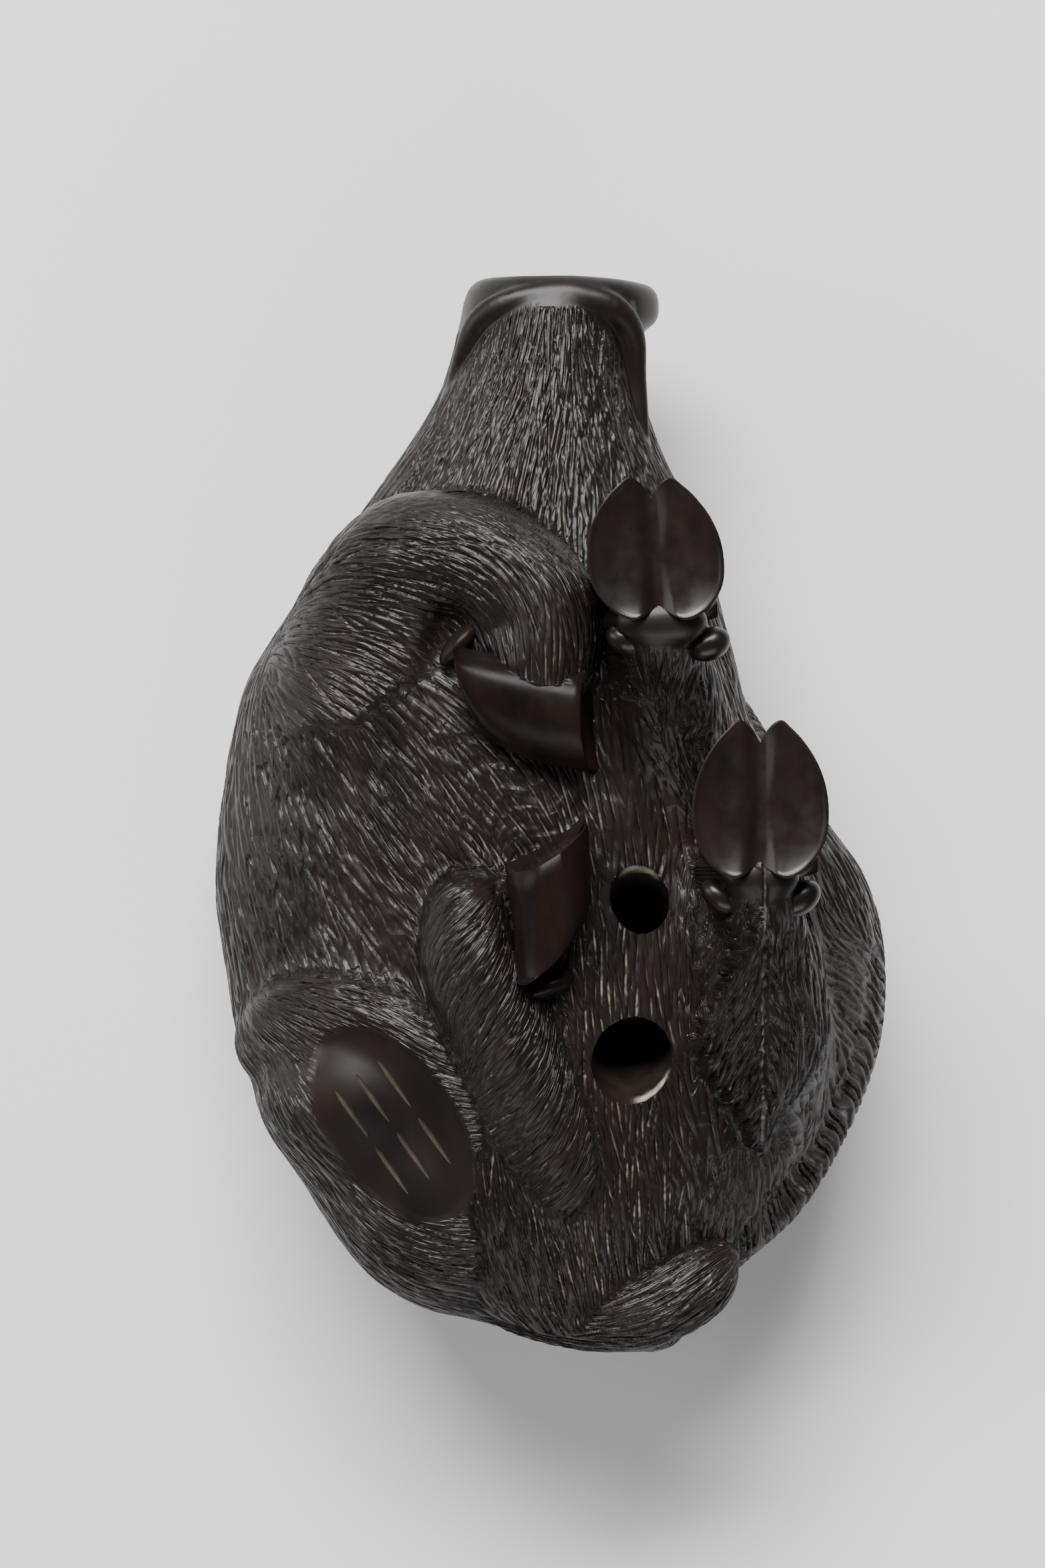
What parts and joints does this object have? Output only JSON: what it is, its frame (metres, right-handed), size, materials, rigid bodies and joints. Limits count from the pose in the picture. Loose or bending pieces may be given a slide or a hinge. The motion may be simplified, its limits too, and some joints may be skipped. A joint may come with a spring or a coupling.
{
  "type": "netsuke",
  "caption": "Carved dark wood toggle in the form of a wild boar lying on its back with folded legs, with slanting cord holes in the belly.",
  "frame": {"origin": "On the plane of the flat spot on the back, under the middle of the carving", "axes": "+Y from tail to snout, +Z from back to belly, +X toward the side of the spine ridge"},
  "size_m": [0.0312, 0.0498, 0.022],
  "materials": {
    "dark_wood": "polished, with engraved hair and dust in the cuts"
  },
  "bodies": {
    "root": {"carved_boar": "dark_wood"}
  },
  "joints": []
}
